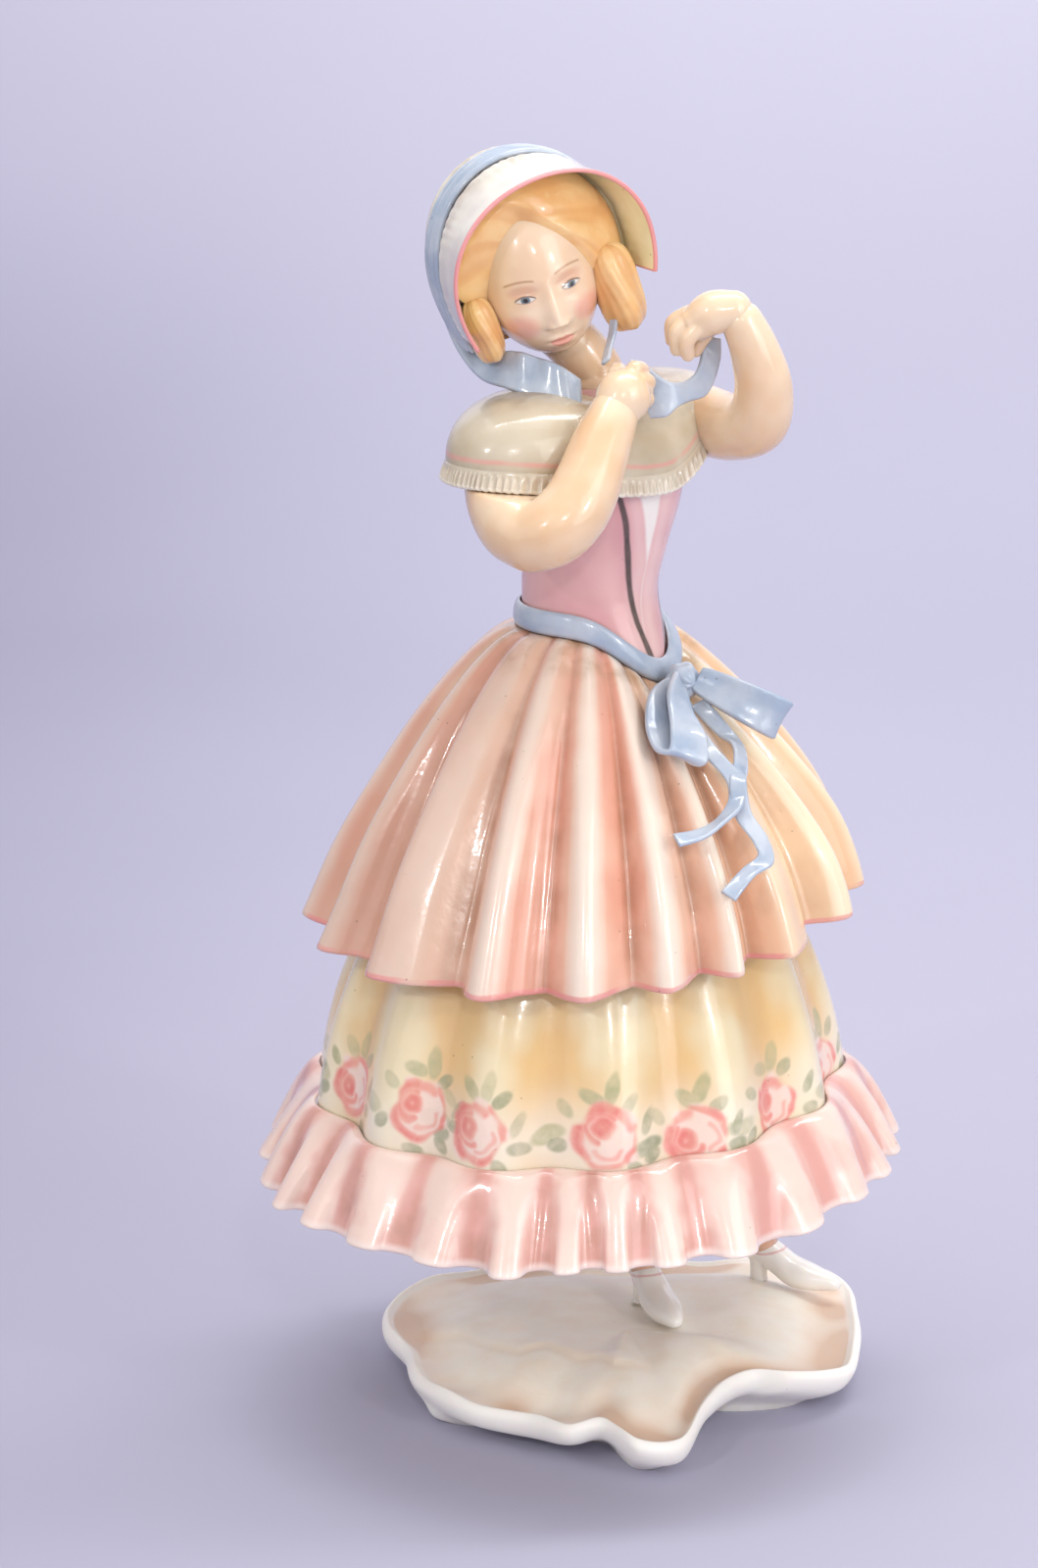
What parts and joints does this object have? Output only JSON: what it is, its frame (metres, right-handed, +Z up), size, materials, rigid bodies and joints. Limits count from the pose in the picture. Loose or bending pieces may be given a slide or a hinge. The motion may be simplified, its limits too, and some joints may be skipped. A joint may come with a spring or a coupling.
{
  "type": "porcelain figurine",
  "caption": "Glazed porcelain figurine of a country woman in bonnet, cape collar, sash, pleated overskirt and frilled rose-painted underskirt, tying her bonnet ribbons on a scalloped base.",
  "frame": {"origin": "on the flat underside of the base, below the middle of the waist", "axes": "+Z up along the figure; -Y towards the viewer of the picture, +X to the viewer's right; the figure faces halfway between -Y and +X"},
  "size_m": [0.1094, 0.1099, 0.2167],
  "materials": {
    "white_glaze": "glossy",
    "stocking_glaze": "glossy",
    "cream_glaze": "glossy",
    "peach_glaze": "glossy",
    "pink_glaze": "glossy",
    "rose_glaze": "glossy",
    "blue_glaze": "glossy",
    "ivory_glaze": "glossy",
    "skin_glaze": "glossy",
    "hair_glaze": "glossy"
  },
  "bodies": {
    "root": {"base": "white_glaze", "right_shoe": "white_glaze", "left_shoe": "white_glaze", "right_leg": "stocking_glaze", "left_leg": "stocking_glaze", "underskirt": "cream_glaze", "overskirt": "peach_glaze", "hem_frill": "pink_glaze", "bodice": "rose_glaze", "sash_band": "blue_glaze", "sash_knot": "blue_glaze", "bow_loop_right": "blue_glaze", "bow_loop_left": "blue_glaze", "sash_tail_right": "blue_glaze", "sash_tail_left": "blue_glaze", "cape_collar": "ivory_glaze", "collar_frill": "ivory_glaze", "right_arm": "skin_glaze", "right_hand": "skin_glaze", "left_arm": "skin_glaze", "left_hand": "skin_glaze", "neck": "skin_glaze", "head": "skin_glaze", "hair": "hair_glaze", "right_ringlet": "hair_glaze", "left_ringlet": "hair_glaze", "bonnet_crown": "ivory_glaze", "bonnet_brim": "ivory_glaze", "bonnet_band": "blue_glaze", "bonnet_tie_right": "blue_glaze", "bonnet_tie_left": "blue_glaze", "tie_loop": "blue_glaze"}
  },
  "joints": []
}
